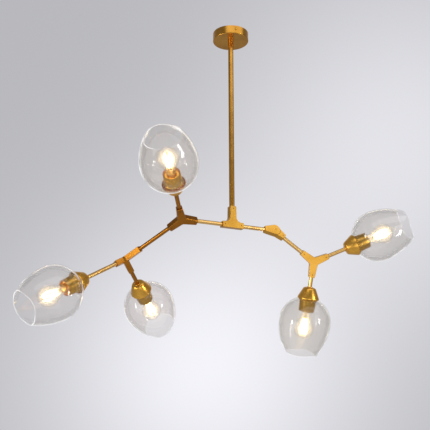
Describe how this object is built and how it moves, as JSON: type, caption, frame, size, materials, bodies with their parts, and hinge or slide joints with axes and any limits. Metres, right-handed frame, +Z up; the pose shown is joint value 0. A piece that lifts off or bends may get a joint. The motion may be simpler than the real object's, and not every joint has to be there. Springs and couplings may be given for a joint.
{
  "type": "chandelier",
  "caption": "Ceiling chandelier: a straight stem, clamped hubs that branch into short tubes, one adjustable knuckle, and clear open glass shades with globe bulbs.",
  "frame": {"origin": "centre of the canopy's ceiling face", "axes": "+Z up to the ceiling, the bar tubes of the centre hub along X, the pictured side towards -Y"},
  "size_m": [1.1281, 0.6424, 0.9854],
  "materials": {
    "satin_brass": "satin",
    "dark_steel": "satin",
    "zinc_steel": "satin",
    "white_plastic": "matte",
    "gold_plastic": "satin",
    "shade_glass": "clear",
    "bulb_glass": "clear",
    "bulb_base": "satin"
  },
  "bodies": {
    "ceiling_mount": {"ceiling_bracket": "zinc_steel", "terminal_block": "white_plastic", "canopy": "satin_brass", "canopy_side_screws": "satin_brass", "stem_nut": "zinc_steel", "stem": "satin_brass"},
    "centre": {"t_hub": "satin_brass", "t_hub_grub_screws": "dark_steel"},
    "left_branch": {"left_tube": "satin_brass", "left_y_hub": "satin_brass", "left_y_hub_grub_screws": "dark_steel", "lamp_1_tube": "satin_brass", "lamp_1_cap": "satin_brass", "lamp_1_socket": "gold_plastic", "lamp_1_sleeve": "satin_brass", "lamp_1_shade": "shade_glass", "lamp_1_bulb_base": "bulb_base", "lamp_1_bulb_glass": "bulb_glass"},
    "lower_left_branch": {"branch_tube": "satin_brass", "three_way_hub": "satin_brass", "three_way_hub_grub_screws": "dark_steel", "lamp_2_tube": "satin_brass", "lamp_2_cap": "satin_brass", "lamp_2_socket": "gold_plastic", "lamp_2_sleeve": "satin_brass", "lamp_2_shade": "shade_glass", "lamp_2_bulb_base": "bulb_base", "lamp_2_bulb_glass": "bulb_glass", "lamp_3_tube": "satin_brass", "lamp_3_cap": "satin_brass", "lamp_3_socket": "gold_plastic", "lamp_3_sleeve": "satin_brass", "lamp_3_shade": "shade_glass", "lamp_3_bulb_base": "bulb_base", "lamp_3_bulb_glass": "bulb_glass"},
    "right_arm": {"right_tube": "satin_brass", "knuckle_base": "satin_brass", "knuckle_base_grub_screw": "dark_steel", "knuckle_pivot_screw": "satin_brass", "knuckle_washer": "white_plastic"},
    "right_link": {"knuckle_arm": "satin_brass", "knuckle_arm_grub_screw": "dark_steel", "knuckle_tube": "satin_brass"},
    "right_branch": {"right_y_hub": "satin_brass", "right_y_hub_grub_screws": "dark_steel", "lamp_4_tube": "satin_brass", "lamp_4_cap": "satin_brass", "lamp_4_socket": "gold_plastic", "lamp_4_sleeve": "satin_brass", "lamp_4_shade": "shade_glass", "lamp_4_bulb_base": "bulb_base", "lamp_4_bulb_glass": "bulb_glass", "lamp_5_tube": "satin_brass", "lamp_5_cap": "satin_brass", "lamp_5_socket": "gold_plastic", "lamp_5_sleeve": "satin_brass", "lamp_5_shade": "shade_glass", "lamp_5_bulb_base": "bulb_base", "lamp_5_bulb_glass": "bulb_glass"}
  },
  "joints": [
    {"name": "stem_swivel", "type": "hinge", "parent": "ceiling_mount", "child": "centre", "pos_m": [0, 0, -0.617], "axis": [0, 0, 1], "range_deg": [-180, 180]},
    {"name": "left_swivel", "type": "hinge", "parent": "centre", "child": "left_branch", "pos_m": [0, 0, -0.617], "axis": [-1, 0, 0], "range_deg": [-180, 180]},
    {"name": "branch_swivel", "type": "hinge", "parent": "left_branch", "child": "lower_left_branch", "pos_m": [-0.16, 0, -0.617], "axis": [-0.5, 0.7408, -0.4486], "range_deg": [-180, 180]},
    {"name": "right_swivel", "type": "hinge", "parent": "centre", "child": "right_arm", "pos_m": [0, 0, -0.617], "axis": [1, 0, 0], "range_deg": [-180, 180]},
    {"name": "knuckle_hinge", "type": "hinge", "parent": "right_arm", "child": "right_link", "pos_m": [0.1433, 0, -0.617], "axis": [0, 0.9759, -0.2181], "range_deg": [-90, 18]},
    {"name": "right_hub_swivel", "type": "hinge", "parent": "right_link", "child": "right_branch", "pos_m": [0.26659, -0.01954, -0.70442], "axis": [0.809, -0.1282, -0.5736], "range_deg": [-180, 180]}
  ]
}
